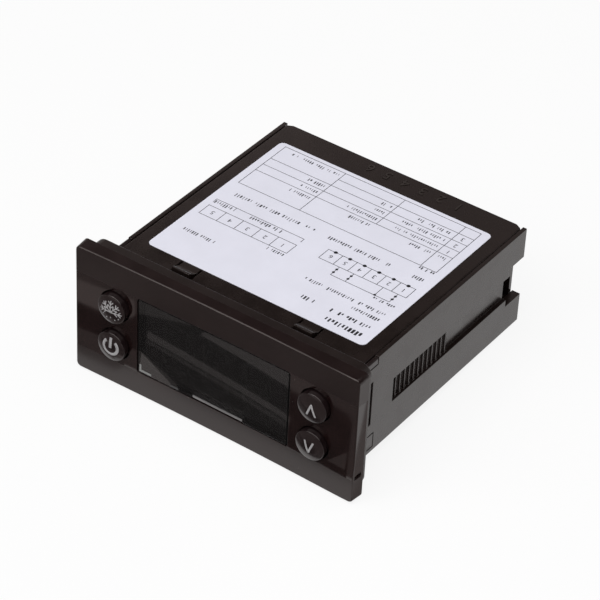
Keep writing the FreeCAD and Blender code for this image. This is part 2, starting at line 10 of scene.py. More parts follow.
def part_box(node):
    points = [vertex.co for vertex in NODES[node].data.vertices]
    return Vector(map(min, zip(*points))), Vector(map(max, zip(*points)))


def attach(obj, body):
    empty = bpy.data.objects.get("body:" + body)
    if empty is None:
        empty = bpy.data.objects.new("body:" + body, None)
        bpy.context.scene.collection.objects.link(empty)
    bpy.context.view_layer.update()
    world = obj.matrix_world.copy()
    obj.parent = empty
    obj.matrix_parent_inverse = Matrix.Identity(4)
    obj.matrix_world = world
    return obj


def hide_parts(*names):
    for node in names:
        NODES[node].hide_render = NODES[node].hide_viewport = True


bl_info = {
    "name": "Panel Temperature Controller",
    "version": (1, 0, 0),
    "blender": (4, 5, 0),
    "location": "3D View > Sidebar > Controller",
    "description": "Gives the packed controller rounded edges, finishes, symbols, print and a studio",
    "category": "Object",
}

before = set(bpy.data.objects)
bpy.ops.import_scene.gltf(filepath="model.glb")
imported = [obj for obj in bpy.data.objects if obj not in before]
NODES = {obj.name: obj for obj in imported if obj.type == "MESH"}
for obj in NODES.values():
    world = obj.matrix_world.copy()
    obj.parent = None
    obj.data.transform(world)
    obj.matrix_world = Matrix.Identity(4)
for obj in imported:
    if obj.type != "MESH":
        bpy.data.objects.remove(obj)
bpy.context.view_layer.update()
BODY = "controller"
KEYS = ("defrost", "power", "up", "down")
MM = 0.001
MERGE_DISTANCE = 0.001 * MM
FLAT_ANGLE = math.radians(0.05)
CORNER_ANGLE = math.radians(32)
HALF_TURN = Matrix.Rotation(math.pi, 4, "Z")

# Lines of print on the label, in millimetres from its reading corner: left, top, width, height
BOLD_WEIGHT = 0.48
BOLD_WORDS = ((2.5, 1.8, 10.3, 1.8), (2.5, 5.4, 11.0, 1.4), (17.8, 5.4, 3.8, 1.4))
PLAIN_WEIGHT = 0.40
PLAIN_WORDS = (
    (2.5, 9.0, 7.8, 1.3), (2.5, 11.5, 22.3, 1.2), (48.8, 9.3, 9.2, 1.2),
    (2.5, 15.2, 6.0, 1.1), (33.5, 15.3, 4.9, 1.2),
    (2.9, 27.5, 3.1, 1.3), (8.1, 27.5, 0.8, 1.3), (12.2, 27.5, 1.1, 1.3),
    (15.1, 27.5, 3.1, 1.3), (18.8, 27.5, 3.4, 1.3), (23.0, 27.5, 6.7, 1.3),
    (38.5, 22.3, 10.0, 1.3), (53.7, 22.3, 5.1, 1.3), (33.5, 27.5, 24.0, 1.4),
    (2.4, 31.2, 4.4, 1.2), (3.4, 37.4, 2.4, 1.3),
    (7.6, 37.4, 6.0, 1.2), (24.7, 37.4, 6.0, 1.2), (41.9, 37.4, 6.0, 1.2),
    (7.6, 40.4, 12.2, 1.2), (24.7, 40.4, 8.7, 1.2), (41.9, 40.4, 5.0, 1.2),
    (7.6, 43.5, 12.2, 1.2), (24.7, 43.5, 3.0, 1.2), (41.9, 43.5, 5.0, 1.2),
    (7.6, 46.6, 9.8, 1.2), (24.7, 46.6, 3.0, 1.2), (41.9, 49.5, 14.0, 1.2),
)

# Ruled lines on the label, in millimetres: left, top and length
LEVEL_RULES = (
    (4.65, 16.8, 16.25), (33.5, 24.05, 25.4), (2.4, 32.7, 56.6), (2.4, 39.55, 56.6), (2.4, 42.55, 56.6),
    (2.4, 45.65, 56.6), (2.4, 48.65, 38.75), (2.4, 51.8, 56.6),
)
UPRIGHT_RULES = (
    (33.5, 22.6, 1.45), (53.0, 22.6, 1.45), (58.9, 22.6, 1.45),
    (4.65, 16.8, 3.6), (8.7, 16.8, 3.6), (16.85, 16.8, 3.6), (20.9, 16.8, 3.6),
    (2.4, 32.7, 19.1), (6.75, 32.7, 19.1), (23.9, 39.55, 12.25), (41.15, 32.7, 19.1), (59.0, 32.7, 19.1),
)

# Rows of boxes on the label: count, then pitch, height, left and top in millimetres
BOX_ROWS = ((6, 4.05, 4.05, 2.5, 20.4), (5, 5.08, 4.0, 33.5, 17.05))

# Dots and plain numbers on the label, in millimetres: left, top
DOTS = ((4.65, 18.0), (4.65, 19.3), (8.7, 16.9), (16.85, 18.0), (16.85, 19.3), (20.9, 18.0), (20.9, 19.3))
DOT_RADIUS = 0.36
ROW_DOT_RADIUS = 0.5
ROW_NUMBERS = ((4.6, 41.0), (4.6, 44.1), (4.6, 47.2))
NUMBER_HEIGHT = 1.4

# Symbols on the buttons, as open lines in millimetres from a hub near the middle of the button
CHEVRON = ((-1.15, -1.5), (0.0, 1.55), (1.15, -1.5))
UP_HUB = (0.27, -0.23)
DOWN_HUB = (0.12, 0.12)
POWER_HUB = (0.27, 0.37)
POWER_RADIUS = 1.95
POWER_GAP = math.radians(38)
POWER_BAR = ((0.0, -0.2), (0.0, 2.55))
FLAKE_HUB = (0.27, -0.23)
FLAKE_ARM = ((0.0, -0.05), (0.0, 3.0))
FLAKE_BARBS = ((1.1, 0.75), (2.0, 0.7))
FLAKE_ARMS = 5
FLAKE_SPREAD = math.radians(180)
DROPS_HUB = (0.27, 0.37)
DROPS = ((-2.15, -1.75), (-1.15, -2.4), (0.0, -2.05), (1.15, -2.4), (2.15, -1.75))
DROP_LENGTH = 0.35
SYMBOL_STEP = 0.12

# Cards that the polished faces show: name, lift above the floor, glow and outline in plan, in millimetres
CARD_COLOUR = (1.0, 0.90, 0.88, 1.0)
CARDS = (
    ("grey_card", 0.2, 0.28, (
        (-300, -11.5), (-300, -400), (300, -400), (300, -14.5), (-31, -14.5), (-31, -11.5),
    )),
    ("dark_card", 0.4, 0.08, (
        (-50, -19.5), (-31, -20.5), (-17, -15.5), (-15, -13.5), (33, -13.5), (29, -19.5), (21.5, -30.5),
        (19, -32.5), (1.5, -34), (-10, -38), (-25.5, -37.5), (-38, -33.5), (-57, -27.5),
    )),
    ("long_gap", 0.6, 0.36, ((-34.5, -28), (-33, -25.5), (11.5, -20.5), (10, -22.5))),
    ("faint_gap", 0.6, 0.22, ((-32.5, -25), (-32, -24), (12.5, -18.5), (11.5, -20))),
    ("end_gap", 0.6, 0.30, ((26, -15.5), (31, -15.5), (27.5, -21))),
    ("corner_gap", 0.6, 0.80, ((-30.5, -20), (-26, -13), (-17, -13), (-18, -14.5))),
    ("upper_gap", 0.6, 0.60, (
        (-64, -35.5), (-44.5, -36.5), (-40.5, -31.5), (-41.5, -28), (-49.5, -28), (-58, -28),
    )),
    ("wedge_gap", 0.6, 0.42, ((-24.5, -34.5), (3, -31), (9, -30.5), (9, -36), (-24.5, -36))),
    ("end_card", 0.4, 0.38, ((39.5, -10), (67, 30.5), (67, 40.5), (39.5, 0))),
    ("rear_card", 128.0, 0.30, ((-200, 150), (60, 150), (60, 300), (-200, 300))),
    ("left_card", 127.0, 1.0, ((-300, 90), (-140, 90), (-140, 300), (-300, 300))),
)

# Lamps: name, place and size in metres
LAMPS = (
    ("top", (0.12, -0.30, 0.92), 1.25),
    ("front", (-0.55, -0.75, 0.65), 0.6),
    ("rear", (0.45, 1.10, 0.22), 0.5),
    ("side", (0.33, -0.44, 0.03), 0.12),
)


# Properties

def measure(name, description, value, unit="NONE"):
    """Number property in one of Blender's units."""
    return FloatProperty(name=name, description=description, default=value, precision=5, unit=unit)


def length(name, description, millimetres):
    """Length property, given in millimetres."""
    return measure(name, description, millimetres * MM, "LENGTH")


def angle(name, description, degrees):
    """Angle property, given in degrees."""
    return measure(name, description, math.radians(degrees), "ROTATION")


def paint(name, description, rgb):
    """Colour property."""
    return FloatVectorProperty(
        name=name, description=description, default=rgb, size=3, min=0.0, max=1.0, subtype="COLOR"
    )


class ControllerSizes(bpy.types.PropertyGroup):
    """Sizes of what the scene adds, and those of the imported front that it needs"""

    body_round: length("Body rounding", "Rounding of the body's moulded edges", 0.12)
    bezel_round: length("Bezel rounding", "Rounding of the bezel's edges", 0.09)
    window_round: length("Window rounding", "Rounding of the window's edges", 0.04)
    front_hollow: length("Front hollow", "How far the middle of the front is set back", 0.6)
    window_ledge: length("Window ledge", "Part of the window behind the bezel, at its top and foot", 0.9)
    # The window's black border is painted shade for the dark gap between the window and the bezel
    window_border: length("Window border", "Width of the black border round the window", 0.3)
    button_dome: length("Button dome", "Height of a button's domed top", 0.7)
    button_rim: length("Button rim", "Rounding round a button's top", 0.25)
    symbol_width: length("Arrow line", "Width of the lines of the arrow symbols", 0.50)
    flake_width: length("Frost line", "Width of the lines of the frost symbol", 0.25)
    power_width: length("Power line", "Width of the lines of the power symbol", 0.75)
    symbol_rise: length("Symbol rise", "How far a symbol stands above its button", 0.02)
    mark_side: length("Corner mark side", "From the window's side to the corner mark", 0.5)
    mark_foot: length("Corner mark foot", "From the bezel's edge up to the corner mark", 0.6)
    mark_arm: length("Corner mark length", "Length of the corner mark", 3.4)
    mark_upright: length("Corner mark height", "Height of the corner mark", 2.04)
    mark_width: length("Corner mark line", "Width of the corner mark's line", 0.55)
    mark_depth: length("Corner mark depth", "Depth of the corner mark, most of it in the window", 0.1)
    numeral_height: length("Numeral height", "Height of the raised numerals on the cover", 3.0)
    numeral_rise: length("Numeral rise", "How far the numerals stand above the cover", 0.15)
    numeral_pitch: length("Numeral pitch", "Spacing of the raised numerals", 5.08)
    numeral_inset: length("Numeral inset", "From the cover's rear edge to the middle of the numerals", 2.9)
    print_rise: length("Print rise", "Thickness of the label's print", 0.012)
    rule_width: length("Rule width", "Width of the ruled lines on the label", 0.16)


class ControllerColours(bpy.types.PropertyGroup):
    """Colours of the finishes"""

    body: paint("Body", "Satin black moulding", (0.0095, 0.0058, 0.0050))
    bezel: paint("Bezel", "Black moulding of the front", (0.0092, 0.0043, 0.0042))
    # Lighter than the body: a painted highlight for the light that the raised numerals' edges catch
    worn: paint("Worn", "Raised numerals of the cover", (0.024, 0.019, 0.017))
    button: paint("Button", "Black of the button caps", (0.0105, 0.0062, 0.0066))
    seal: paint("Seal", "Soft seal behind the bezel", (0.0085, 0.0048, 0.0043))
    smoke: paint("Smoke", "Tint of the window", (0.068, 0.064, 0.063))
    symbol: paint("Symbol", "Pale ink of the symbols", (0.35, 0.34, 0.345))
    mark: paint("Mark", "Ink of the corner mark", (0.22, 0.225, 0.22))
    label: paint("Label", "Film of the label", (0.79, 0.79, 0.885))
    ink: paint("Ink", "Print on the label", (0.018, 0.018, 0.022))
    board: paint("Board", "Lacquer of the circuit boards", (0.02, 0.11, 0.05))
    metal: paint("Metal", "Tinned pins", (0.72, 0.70, 0.66))


class ControllerStage(bpy.types.PropertyGroup):
    """Camera, lamps, surroundings and floor"""

    azimuth: angle("Azimuth", "Turn of the camera round the controller", 33.977)
    elevation: angle("Elevation", "Height of the camera above the horizon", 37.662)
    roll: angle("Roll", "Turn of the camera about its line of sight", 2.951)
    distance: length("Distance", "From the camera to its target", 664.626)
    target: FloatVectorProperty(
        name="Target", description="Point that the camera looks at", size=3, precision=5,
        default=(0.034 * MM, 26.8 * MM, 0.433 * MM), subtype="TRANSLATION", unit="LENGTH",
    )
    lens: measure("Lens", "Focal length", 170.98, "CAMERA")
    sensor: measure("Sensor", "Width of the sensor", 36.0, "CAMERA")
    top_power: measure("Top lamp", "Power overhead", 11.9, "POWER")
    front_power: measure("Front lamp", "Power in front", 3.0, "POWER")
    rear_power: measure("Rear lamp", "Power behind", 2.4, "POWER")
    side_power: measure("Side lamp", "Power at the right", 0.06, "POWER")
    world: measure("World", "Strength of the surrounding light", 0.05)
    floor_shadow: measure("Floor shadow", "How much of the shadow the floor shows", 0.14)


# Node trees

class Output:
    """Output of a node; arithmetic on it adds Math nodes to its tree."""

    def __init__(self, socket):
        self.socket = socket
        self.tree = socket.id_data

    def into(self, kind, inputs=None, output=0, **settings):
        """One output of a new node, which takes this one as its first input."""
        return made(self.tree, kind, {0: self, **(inputs or {})}, output, **settings)

    def operate(self, operation, *others):
        """Result of a Math node."""
        return self.into("ShaderNodeMath", dict(enumerate(others, 1)), operation=operation)

    __add__ = partialmethod(operate, "ADD")
    __sub__ = partialmethod(operate, "SUBTRACT")
    __mul__ = partialmethod(operate, "MULTIPLY")
    __truediv__ = partialmethod(operate, "DIVIDE")
    __pow__ = partialmethod(operate, "POWER")


def set_inputs(node, inputs):
    """Sets inputs of a node to values, or links them to outputs of other nodes."""
    for key, value in inputs.items():
        if isinstance(value, Output):
            value.tree.links.new(value.socket, node.inputs[key])
        else:
            node.inputs[key].default_value = value


def add_node(tree, kind, inputs=None, **settings):
    """New node with its settings and inputs."""
    node = tree.nodes.new(kind)
    for key, value in settings.items():
        setattr(node, key, value)
    set_inputs(node, inputs or {})
    return node


def made(tree, kind, inputs=None, output=0, **settings):
    """One output of a new node, the first if no other is asked for."""
    return Output(add_node(tree, kind, inputs, **settings).outputs[output])


def outputs(node):
    """Outputs of a node by name."""
    return {socket.name: Output(socket) for socket in node.outputs}


def split(place):
    """X, Y and Z of a vector."""
    return outputs(add_node(place.tree, "ShaderNodeSeparateXYZ", {"Vector": place}))


def vector(tree, x, y, z):
    """Vector from three values."""
    return made(tree, "ShaderNodeCombineXYZ", {"X": x, "Y": y, "Z": z})


def remap(value, low, high, to_low, to_high):
    """Value carried from one range to another, and held inside it."""
    inputs = {"From Min": low, "From Max": high, "To Min": to_low, "To Max": to_high}
    return value.into("ShaderNodeMapRange", inputs)


def blend_colours(factor, first, second):
    """Mix of two colours."""
    first_in, second_in, result = 6, 7, 2
    return factor.into("ShaderNodeMix", {first_in: first, second_in: second}, result, data_type="RGBA")


# Finishes

WHITE = (1.0, 1.0, 1.0, 1.0)
BLACK = (0.0, 0.0, 0.0, 1.0)
WARM_SHEEN = (1.0, 0.90, 0.87, 1.0)
DUST = (0.25, 0.24, 0.23, 1.0)
BEZEL_DUST = (0.22, 0.20, 0.19, 1.0)
# Black of the painted shade along the window's edge
GAP_SHADE_BLACK = (0.004, 0.004, 0.004, 1.0)

# Moulded plastics: colour, or its property, roughness and, where they aren't usual, bump, dust and grain
MOULDINGS = {
    "body_black": ("body", 0.26, 0.05, 0.16),
    # Raised numerals: a lighter colour, which is a painted highlight on their edges
    "worn_black": ("worn", 0.3),
    "seal_rubber": ("seal", 0.36, 0.06, 0.2),
    "button_black": ("button", 0.18, 0.01, 0.15),
    "light_guide": ((0.17, 0.165, 0.165), 0.3, 0.02),
    "socket_black": ((0.02, 0.019, 0.019), 0.42),
    "display_grey": ((0.03, 0.03, 0.033), 0.5),
    "segment_pale": ((0.32, 0.33, 0.33), 0.45),
    "switch_black": ((0.022, 0.021, 0.021), 0.45),
    "component_black": ((0.024, 0.024, 0.026), 0.45, 0.1, 0.0, 0.35 * MM),
    "ferrite_grey": ((0.06, 0.06, 0.065), 0.6, 0.2, 0.0, 0.4 * MM),
    "film_block": ((0.55, 0.42, 0.09), 0.4),
    "can_sleeve": ((0.02, 0.025, 0.05), 0.22, 0.02),
    "disc_blue": ((0.03, 0.09, 0.27), 0.25, 0.05),
}
COIL_TAPE = (0.62, 0.44, 0.07)


def bare_material(name):
    """New material and its tree."""
    material = bpy.data.materials.new(name)
    material.use_nodes = True
    return material, material.node_tree


def new_material(name, look, *values):
    """New material, whose shader gets the inputs that a look works out on Object coordinates."""
    material, tree = bare_material(name)
    place = made(tree, "ShaderNodeTexCoord", output="Object")
    set_inputs(tree.nodes["Principled BSDF"], look(place, *values))
    return material


def noise(place, size, detail=3.0):
    """Cloudy value with features of about a given size."""
    return place.into("ShaderNodeTexNoise", {"Scale": 1 / size, "Detail": detail})


def swing(cloud, low=0.0, high=1.0):
    """Value that follows a cloud from one level to another."""
    thin, thick = 0.3, 0.7
    return remap(cloud, thin, thick, low, high)


def shaded(colour, share):
    """Colour made darker or lighter, with its alpha."""
    return (*(min(1.0, part * share) for part in colour), 1.0)


def clouded(factor, colour, dark, light):
    """Colour that varies between a darker and a lighter share of itself."""
    return blend_colours(factor, shaded(colour, dark), shaded(colour, light))


def grain_bump(place, size, strength):
    """Normal of a finely grained surface."""
    depth_share = 0.2
    height = noise(place, size, detail=2.0)
    inputs = {"Strength": strength, "Distance": size * depth_share, "Height": height}
    return made(place.tree, "ShaderNodeBump", inputs)


def specks(place, spacing, radius, share):
    """Mask of small scattered specks."""
    cells = outputs(add_node(place.tree, "ShaderNodeTexVoronoi", {"Vector": place, "Scale": 1 / spacing}))
    near = cells["Distance"].operate("LESS_THAN", radius / spacing)
    pick = cells["Color"].into("ShaderNodeSeparateColor")
    return near * pick.operate("LESS_THAN", share)


def moulded_plastic(place, colour, roughness, bump=0.06, dust=0.0, grain=0.25 * MM):
    """Moulded plastic with a slight cloud in its colour and gloss, a fine grain and stray dust."""
    cloud = noise(place, size=5 * MM)
    face = clouded(swing(cloud), colour, dark=0.85, light=1.18)
    if dust:
        face = blend_colours(specks(place, spacing=3 * MM, radius=0.06 * MM, share=dust), face, DUST)
    return {
        "Base Color": face,
        "Roughness": swing(cloud, roughness - 0.04, roughness + 0.05),
        "Specular Tint": WARM_SHEEN,
        "Normal": grain_bump(place, grain, bump),
    }


def bezel_plastic(place, colour, band_low, band_high):
    """Satin black with a polished band across the front, between two levels."""
    edge = 0.06 * MM
    level = split(place)["Z"]
    above = remap(level, band_low - edge, band_low + edge, 0.0, 1.0)
    below = remap(level, band_high - edge, band_high + edge, 1.0, 0.0)
    band = above * below
    cloud = noise(place, size=6 * MM)
    face = clouded(swing(cloud), colour, dark=0.85, light=1.15)
    dust = specks(place, spacing=2.4 * MM, radius=0.07 * MM, share=0.3)
    satin = swing(cloud, 0.28, 0.34)
    polish = swing(cloud, 0.05, 0.09)
    return {
        "Base Color": blend_colours(dust, face, BEZEL_DUST),
        "Roughness": satin + (polish - satin) * band,
        "Specular Tint": WARM_SHEEN,
        "Normal": grain_bump(place, 0.3 * MM, remap(band, 0.0, 1.0, 0.05, 0.0)),
    }


def smoked_lens(place, tint, low, high, border):
    """Dark plastic of the window, a little hazy, with faint smears on its polish, and a black border with
    no reflection, painted shade for the gap round the window.
    """
    fade = 0.03 * MM
    clear = 0.93
    spot = split(place)
    middle, half = (low + high) / 2, (high - low) / 2
    past_side = (spot["X"] - middle.x).operate("ABSOLUTE") - (half.x - border)
    past_end = (spot["Z"] - middle.z).operate("ABSOLUTE") - (half.z - border)
    # Painted shade: black and without reflection along the window's edge, for the gap round it
    dark = remap(past_side.operate("MAXIMUM", past_end), -fade, fade, 0.0, 1.0)
    smears = noise(place, size=7 * MM)
    return {
        "Base Color": blend_colours(dark, (*tint, 1.0), GAP_SHADE_BLACK),
        "Roughness": remap(smears, 0.35, 0.75, 0.02, 0.07),
        "IOR": 1.49,
        "Specular Tint": blend_colours(dark, WHITE, BLACK),
        "Transmission Weight": remap(dark, 0.0, 1.0, clear, 0.0),
    }


def label_film(place, colour):
    """Matt printed film with a faint cloud in its white."""
    return {
        "Base Color": clouded(swing(noise(place, size=9 * MM)), colour, dark=0.97, light=1.02),
        "Roughness": swing(noise(place, size=2 * MM), 0.42, 0.52),
        "Normal": grain_bump(place, 0.2 * MM, 0.03),
    }


def ink(place, colour):
    """Ink with a little unevenness."""
    cloud = noise(place, size=0.6 * MM)
    return {
        "Base Color": clouded(swing(cloud), colour, dark=0.92, light=1.06),
        "Roughness": swing(cloud, 0.4, 0.5),
    }


def tinned_metal(place, colour):
    """Drawn and tinned metal with fine length lines."""
    drawn = place.into("ShaderNodeMapping", {"Scale": (1.0, 0.08, 1.0)})
    lines = noise(drawn, size=0.12 * MM)
    return {
        "Base Color": clouded(lines, colour, dark=0.85, light=1.05),
        "Metallic": 1.0,
        "Roughness": swing(lines, 0.22, 0.36),
    }


def lacquered_board(place, colour):
    """Green lacquer over copper lines, which show as paler tracks."""
    tracks = place.into("ShaderNodeTexBrick", {
        "Color1": BLACK, "Color2": BLACK, "Mortar": WHITE,
        "Scale": 1 / (6 * MM), "Mortar Size": 0.05, "Brick Width": 0.7, "Row Height": 0.35,
    })
    cloud = noise(place, size=3 * MM)
    lacquer = clouded(cloud, colour, dark=0.8, light=1.2)
    return {
        "Base Color": blend_colours(tracks, lacquer, shaded(colour, 1.7)),
        "Roughness": swing(cloud, 0.25, 0.4),
    }


def wound_tape(place, colour):
    """Tape wound round the coil, with its overlaps."""
    inputs = {"Scale": 1 / (9 * MM), "Distortion": 0.6}
    wave = place.into("ShaderNodeTexWave", inputs, output=1, bands_direction="Z")
    return {
        "Base Color": clouded(wave, colour, dark=0.8, light=1.1),
        "Roughness": remap(wave, 0.0, 1.0, 0.28, 0.42),
    }


def controller_sizes():
    """Sizes that the scene holds."""
    return bpy.context.scene.controller_sizes


def window_view():
    """Corners of the part of the window that the bezel leaves open."""
    low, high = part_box("display_window")
    ledge = Vector((0, 0, controller_sizes().window_ledge))
    return low + ledge, high - ledge


def new_finish(slot, name):
    """New material of a slot."""
    colours = bpy.context.scene.controller_colours
    if slot in MOULDINGS:
        colour, *values = MOULDINGS[slot]
        if isinstance(colour, str):
            colour = getattr(colours, colour)
        return new_material(name, moulded_plastic, colour, *values)
    low, high = window_view()
    return new_material(name, *{
        "bezel_black": (bezel_plastic, colours.bezel, low.z, high.z),
        "window_smoke": (smoked_lens, colours.smoke, low, high, controller_sizes().window_border),
        "label_white": (label_film, colours.label),
        "label_ink": (ink, colours.ink),
        "symbol_ink": (ink, colours.symbol),
        "mark_ink": (ink, colours.mark),
        "pin_metal": (tinned_metal, colours.metal),
        "board_green": (lacquered_board, colours.board),
        "coil_tape": (wound_tape, COIL_TAPE),
    }[slot])


def finish(slot):
    """Material of a slot, made when it is first asked for."""
    name = slot + "_finish"
    return bpy.data.materials.get(name) or new_finish(slot, name)


def paint_nodes(slot, *nodes):
    """Gives CAD pieces that are shown as they are the material of their slot."""
    for node in nodes:
        NODES[node].data.materials.clear()
        NODES[node].data.materials.append(finish(slot))


# Meshes

def new_object(name, data):
    """New object in the scene."""
    piece = bpy.data.objects.new(name, data)
    bpy.context.scene.collection.objects.link(piece)
    return piece


def show(name, mesh, look, body=BODY, stands_for=()):
    """New piece of the controller from a finished mesh, with the finish that its look names."""
    mesh.materials.clear()
    mesh.materials.append(finish(look))
    piece = new_object(name, mesh)
    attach(piece, body)
    if stands_for:
        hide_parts(*stands_for)


def to_mesh(name, bm):
    """Plain mesh from a bmesh, without normals carried over from elsewhere."""
    mesh = bpy.data.meshes.new(name)
    bm.to_mesh(mesh)
    bm.free()
    if "custom_normal" in mesh.attributes:
        mesh.attributes.remove(mesh.attributes["custom_normal"])
    return mesh


def gathered(name, meshes):
    """One mesh from several."""
    bm = bmesh.new()
    for mesh in meshes:
        bm.from_mesh(mesh)
        bpy.data.meshes.remove(mesh)
    return to_mesh(name, bm)


def evaluated_mesh(name, data, prepare=None):
    """Plain mesh of some data, with the modifiers that prepare adds to a passing object."""
    passing = new_object(name + "_passing", data)
    if prepare:
        prepare(passing)
    result = bpy.data.meshes.new_from_object(passing.evaluated_get(bpy.context.evaluated_depsgraph_get()))
    bpy.data.objects.remove(passing)
    result.name = name
    return result


def weighted_normals(piece):
    """Lets large faces set the shading across the rounded edges."""
    modifier = piece.modifiers.new("weighted", "WEIGHTED_NORMAL")
    modifier.weight = 100


def softened(node, name, rounding, segments):
    """Copy of a CAD piece with its sharp edges rounded."""
    bm = bmesh.new()
    bm.from_mesh(NODES[node].data)
    bmesh.ops.remove_doubles(bm, verts=bm.verts, dist=MERGE_DISTANCE)
    bmesh.ops.dissolve_limit(bm, angle_limit=FLAT_ANGLE, verts=bm.verts, edges=bm.edges)
    sharp = [e for e in bm.edges if e.is_manifold and e.calc_face_angle() > CORNER_ANGLE]
    bmesh.ops.bevel(
        bm, geom=sharp, offset=rounding, segments=segments, profile=0.5, affect="EDGES", clamp_overlap=False
    )
    for face in bm.faces:
        face.smooth = True
    return evaluated_mesh(name, to_mesh(name, bm), weighted_normals)


def front_radius():
    """Radius of the bezel's hollow front."""
    low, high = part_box("front_bezel")
    half = (high.x - low.x) / 2
    hollow = controller_sizes().front_hollow
    return (half ** 2 + hollow ** 2) / (2 * hollow)


def smooth_front(mesh):
    """Shades the faces of a hollow front as one true arc."""
    facing_front = -0.998
    radius = front_radius()
    normals = [normal.vector.copy() for normal in mesh.corner_normals]
    for face in mesh.polygons:
        if face.normal.y < facing_front:
            for corner in face.loop_indices:
                x = mesh.vertices[mesh.loops[corner].vertex_index].co.x
                normals[corner] = Vector((-x, -radius, 0)).normalized()
    mesh.normals_split_custom_set(normals)


def dress(node, name, slot, rounding, segments=2, hollow=False):
    """Shows a CAD piece with rounded edges and, where its front is hollow, with that shaded as an arc."""
    mesh = softened(node, name, rounding, segments)
    if hollow:
        smooth_front(mesh)
    show(name, mesh, slot, stands_for=[node])


def add_box(bm, low, high):
    """Closed block between two corners."""
    middle = (Vector(low) + Vector(high)) / 2
    size = Vector(high) - Vector(low)
    bmesh.ops.create_cube(bm, size=1.0, matrix=Matrix.Translation(middle) @ Matrix.Diagonal((*size, 1.0)))


def add_plate(bm, outline, front, back):
    """Closed plate between two Y levels, from an outline of X and Z that runs anticlockwise."""
    near = [bm.verts.new((x, front, z)) for x, z in outline]
    far = [bm.verts.new((x, back, z)) for x, z in outline]
    bm.faces.new(near)
    bm.faces.new(reversed(far))
    for side in range(len(outline)):
        bm.faces.new((near[side - 1], far[side - 1], far[side], near[side]))


def add_turned(bm, profile, x, z, steps=96):
    """Closed turned form along Y, from profile points of radius and Y, with its ends on the axis."""
    turns = [2 * math.pi * step / steps for step in range(steps)]
    rings = []
    for radius, y in profile[1:-1]:
        rings.append([bm.verts.new((x + radius * math.cos(t), y, z + radius * math.sin(t))) for t in turns])
    first = bm.verts.new((x, profile[0][1], z))
    last = bm.verts.new((x, profile[-1][1], z))
    faces = []
    for step in range(steps):
        after = (step + 1) % steps
        faces.append(bm.faces.new((first, rings[0][step], rings[0][after])))
        faces.append(bm.faces.new((last, rings[-1][after], rings[-1][step])))
        for near, far in zip(rings, rings[1:]):
            faces.append(bm.faces.new((near[step], far[step], far[after], near[after])))
    return faces


def cap_profile(radius, apex, base, dome, rim, steps=10):
    """Radius and Y along a domed cap with a rounded rim, and the radius of its dome."""
    ball = (radius ** 2 + dome ** 2) / (2 * dome)
    turn = math.asin((radius - rim) / (ball - rim))
    rim_y = apex + ball - (ball - rim) * math.cos(turn)
    points = []
    for step in range(steps + 1):
        a = turn * step / steps
        points.append((ball * math.sin(a), apex + ball * (1 - math.cos(a))))
    for step in range(1, steps + 1):
        a = turn + (math.pi / 2 - turn) * step / steps
        points.append((radius - rim + rim * math.sin(a), rim_y - rim * math.cos(a)))
    return points + [(radius, base), (0.0, base)], ball


def text_mesh(characters, height, rise):
    """Mesh of plain numerals, flat on the XY plane and centred."""
    cap_share = 0.73
    curve = bpy.data.curves.new("numerals", "FONT")
    curve.body = characters
    curve.size = height / cap_share
    curve.extrude = rise / 2
    curve.align_x = "CENTER"
    curve.align_y = "CENTER"
    mesh = evaluated_mesh("numerals", curve)
    bpy.data.curves.remove(curve)
    return mesh


# Geometry node trees

def start_tree(name, **kinds):
    """New modifier tree, with the names of its inputs given by kind, and the outputs of its group input."""
    tree = bpy.data.node_groups.new(name, "GeometryNodeTree")
    tree.is_modifier = True
    for kind, titles in {"Geometry": "Geometry", **kinds, "Material": "Material"}.items():
        for title in titles.split():
            tree.interface.new_socket(name=title, in_out="INPUT", socket_type="NodeSocket" + kind)
    tree.interface.new_socket(name="Geometry", in_out="OUTPUT", socket_type="NodeSocketGeometry")
    return tree, outputs(add_node(tree, "NodeGroupInput"))


def end_tree(tree, entry, geometry):
    """Ends a tree in Realize Instances and Set Material."""
    real = geometry.into("GeometryNodeRealizeInstances")
    inked = real.into("GeometryNodeSetMaterial", {"Material": entry["Material"]})
    add_node(tree, "NodeGroupOutput", {"Geometry": inked})
    return tree


def grown(name, tree, source, values):
    """Plain mesh that a tree makes from source data with the given inputs."""
    def prepare(passing):
        modifier = passing.modifiers.new(name, "NODES")
        modifier.node_group = tree
        for item in tree.interface.items_tree:
            if item.in_out == "INPUT" and item.name in values:
                modifier[item.identifier] = values[item.name]
    return evaluated_mesh(name, source, prepare)


def row(tree, count, step, start=0.0):
    """Points in a row along X."""
    inputs = {"Start Location": vector(tree, start, 0.0, 0.0), "Offset": vector(tree, step, 0.0, 0.0)}
    return made(tree, "GeometryNodeMeshLine", {"Count": count, **inputs})


def copies(points, instance, **inputs):
    """Copies of a form on points."""
    return points.into("GeometryNodeInstanceOnPoints", {"Instance": instance, **inputs})


def random_share(tree, low, high, seed):
    """Random value for each point, between two limits."""
    low_in, high_in, result = 2, 3, 1
    inputs = {low_in: low, high_in: high, "Seed": seed}
    return made(tree, "FunctionNodeRandomValue", inputs, output=result, data_type="FLOAT")


